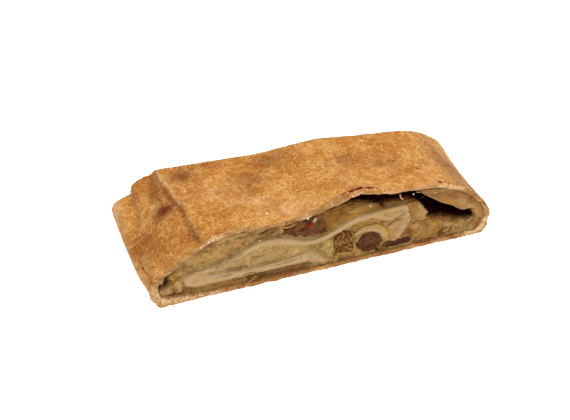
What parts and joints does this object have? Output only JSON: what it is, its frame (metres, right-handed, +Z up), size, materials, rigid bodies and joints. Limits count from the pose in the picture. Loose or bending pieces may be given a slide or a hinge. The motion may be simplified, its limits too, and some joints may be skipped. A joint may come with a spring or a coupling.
{
  "type": "apple strudel",
  "caption": "Portion of apple strudel cut across a baked loaf: a thin browned crust round apple filling, raisins and rolled white dough, with a steam hollow at one end.",
  "frame": {"origin": "centre of the footprint, on the surface that the portion lies on", "axes": "+X across the loaf from its seam side to its other side, +Y from the near cut face towards the far cut, +Z up"},
  "size_m": [0.13, 0.05, 0.0314],
  "materials": {
    "crust": "matt baked pastry, mottled golden brown",
    "dough": "soft moist white dough",
    "side_dough": "cut face of baked dough",
    "filling": "moist apple filling",
    "cinnamon": "moist filling dark with cinnamon",
    "raisin": "plump moist raisin",
    "apple": "translucent cooked apple",
    "crumbs": "sugared crumbs"
  },
  "bodies": {
    "root": {"crust": "crust", "rolled_dough": "dough", "side_dough": "side_dough", "dough_tongue": "dough", "filling_top": "filling", "filling_cinnamon": "cinnamon", "filling_crown": "filling", "filling_fold": "filling", "filling_base": "filling", "filling_core": "filling", "filling_side": "filling", "filling_rear": "filling", "raisin_tall": "raisin", "raisin_flat": "raisin", "raisin_end": "raisin", "raisin_far_high": "raisin", "raisin_far_low": "raisin", "apple_end": "apple", "apple_far": "apple", "apple_chunk": "apple", "apple_peeled_arc": "apple", "apple_flap": "apple", "crumb_cluster": "crumbs"}
  },
  "joints": []
}
